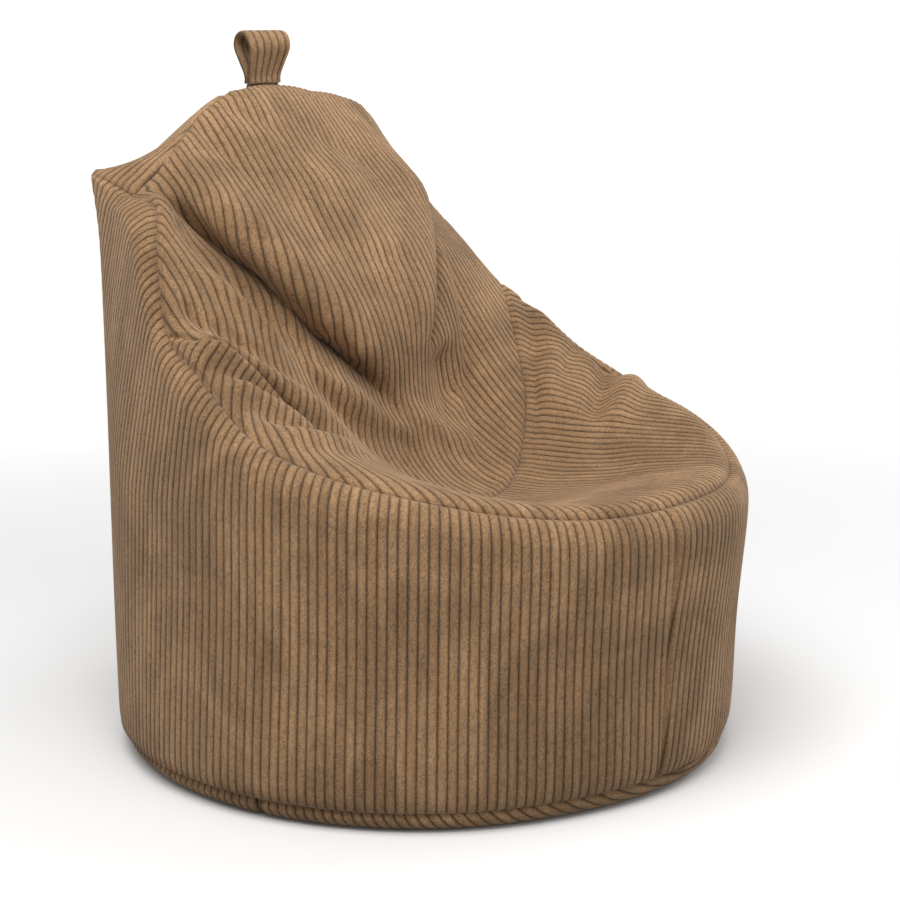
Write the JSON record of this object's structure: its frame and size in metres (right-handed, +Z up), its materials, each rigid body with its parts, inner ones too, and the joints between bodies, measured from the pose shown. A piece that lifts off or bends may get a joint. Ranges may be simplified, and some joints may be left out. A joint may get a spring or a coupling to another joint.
{
  "type": "bean bag chair",
  "caption": "Tub-shaped bean bag chair with a tall back, a low front rim, a bead-filled liner in a zipped corduroy cover, and a carry loop at the top.",
  "frame": {"origin": "on the floor, under the middle of the object's bounding box", "axes": "+Z up, the sitter faces -Y, the sitter's right hand is at -X"},
  "size_m": [0.7414, 0.7326, 0.832],
  "materials": {
    "corduroy": "brown wide-wale corduroy, brushed pile with soft sheen",
    "zip_tape": "woven polyester tape, brown",
    "zip_teeth": "moulded plastic teeth, brown",
    "zip_metal": "antique brass lacquer",
    "liner": "thin woven polyester, undyed",
    "liner_zip": "pale zip tape and teeth",
    "beads": "expanded polystyrene beads"
  },
  "bodies": {
    "bag": {"outer_wall_left": "corduroy", "outer_wall_right": "corduroy", "outer_back": "corduroy", "top_gusset": "corduroy", "inner_back": "corduroy", "seat_and_arms": "corduroy", "base_front": "corduroy", "base_rear": "corduroy", "carry_handle_root": "corduroy", "cover_zip_tape_front": "zip_tape", "cover_zip_tape_rear": "zip_tape", "cover_zip_teeth_front": "zip_teeth", "cover_zip_teeth_rear": "zip_teeth", "cover_zip_stop_closed": "zip_metal", "cover_zip_stop_open": "zip_metal", "inner_liner": "liner", "liner_zip_tape_front": "liner_zip", "liner_zip_tape_rear": "liner_zip", "liner_zip_teeth_front": "liner_zip", "liner_zip_teeth_rear": "liner_zip", "liner_zip_stop_closed": "zip_metal", "liner_zip_stop_open": "zip_metal", "bead_filling": "beads"},
    "handle_loop": {"carry_handle": "corduroy"},
    "cover_slider": {"cover_zip_slider": "zip_metal"},
    "liner_slider": {"liner_zip_slider": "zip_metal"}
  },
  "joints": [
    {"name": "handle_flop", "type": "hinge", "parent": "bag", "child": "handle_loop", "pos_m": [0, 0.2559, 0.77], "axis": [1, 0, 0], "range_deg": [-60, 60], "stiffness_Nm_per_rad": 0.02},
    {"name": "cover_zip_run", "type": "slide", "parent": "bag", "child": "cover_slider", "axis": [1, 0, 0], "range_m": [-0.485, 0]},
    {"name": "liner_zip_run", "type": "slide", "parent": "bag", "child": "liner_slider", "axis": [1, 0, 0], "range_m": [-0.345, 0]}
  ]
}
